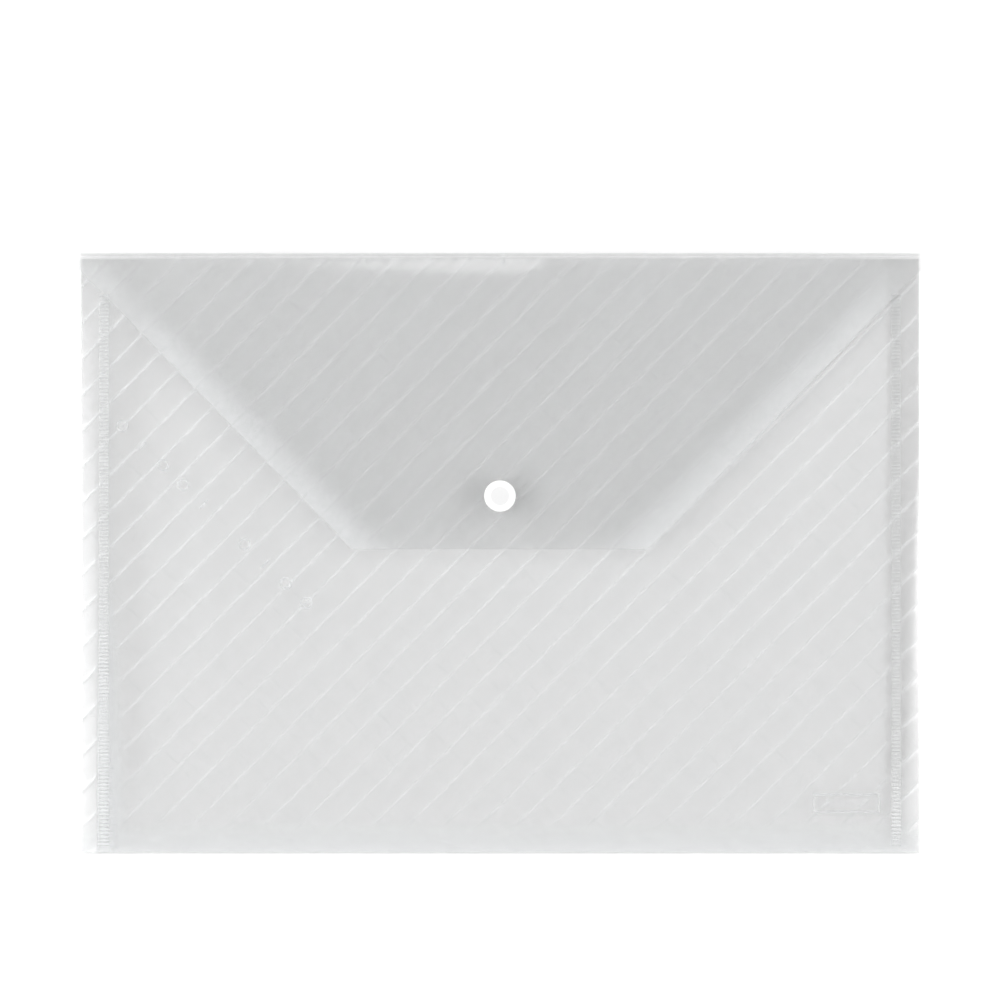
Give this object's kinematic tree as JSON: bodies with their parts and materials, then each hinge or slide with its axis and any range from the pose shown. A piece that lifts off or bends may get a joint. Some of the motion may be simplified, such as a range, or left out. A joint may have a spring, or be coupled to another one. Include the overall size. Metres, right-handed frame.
{
  "type": "document wallet",
  "caption": "Flat translucent plastic portfolio wallet: a pocket welded at both sides, with a fold-over closing flap held by a round press stud.",
  "frame": {"origin": "centre of the back panel's outer face, which the wallet lies on", "axes": "+X to the right along the folds, +Y from the bottom fold to the top fold, +Z out of the front panel"},
  "size_m": [0.335, 0.24, 0.0104],
  "materials": {
    "film": "clear milky polypropylene film, satin, with fine embossed diagonal lines",
    "weld": "the same film, fused in a strip of fine cross ribs",
    "snap": "white moulded plastic, semi-gloss"
  },
  "bodies": {
    "pocket": {"back_panel": "film", "front_panel": "film", "bottom_fold": "film", "left_side_seam": "weld", "right_side_seam": "weld", "top_fold": "film", "snap_stud": "snap", "inner_snap_cap": "snap"},
    "flap": {"closing_flap": "film", "snap_button": "snap", "snap_socket": "snap"}
  },
  "joints": [
    {"name": "flap_fold", "type": "hinge", "parent": "pocket", "child": "flap", "pos_m": [0, 0.1167, 0.0033], "axis": [-1, 0, 0], "range_deg": [0, 177], "deforming": ["top_fold"]}
  ]
}
